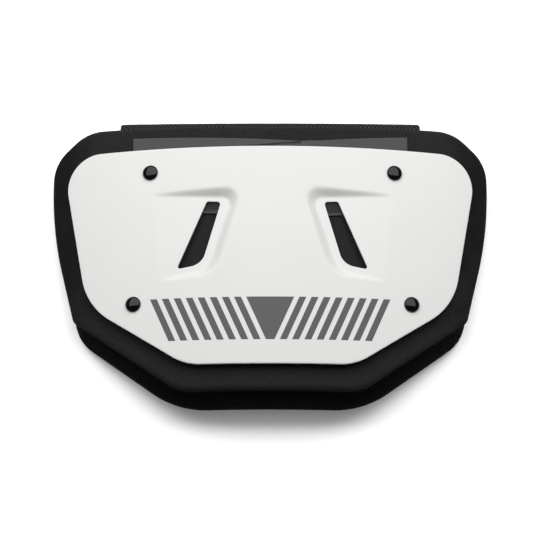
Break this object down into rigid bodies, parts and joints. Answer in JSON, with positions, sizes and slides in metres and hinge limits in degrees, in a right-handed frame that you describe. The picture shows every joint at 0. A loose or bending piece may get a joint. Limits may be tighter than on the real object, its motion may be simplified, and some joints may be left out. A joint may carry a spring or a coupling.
{
  "type": "football back plate",
  "caption": "Protective back plate: a curved plastic shell riveted over moulded foam and a knit-covered pad, which hangs over the lower back.",
  "frame": {"origin": "on the surface it lies on, under the middle of the whole object", "axes": "+X across the back, towards the wearer's right as the plate lies face up; +Y towards the top edge with the tab; +Z out of the shell's face"},
  "size_m": [0.3196, 0.2172, 0.0563],
  "materials": {
    "moulded_white_plastic": "satin",
    "moulded_black_foam": "matte",
    "black_spacer_knit": "matte",
    "grey_webbing": "woven",
    "black_rivet_plastic": "gloss"
  },
  "bodies": {
    "root": {"outer_plate": "moulded_white_plastic", "front_foam": "moulded_black_foam", "rear_pad": "black_spacer_knit", "strap_left": "grey_webbing", "strap_right": "grey_webbing", "rivet_upper_left": "black_rivet_plastic", "rivet_upper_right": "black_rivet_plastic", "rivet_lower_left": "black_rivet_plastic", "rivet_lower_right": "black_rivet_plastic"}
  },
  "joints": []
}
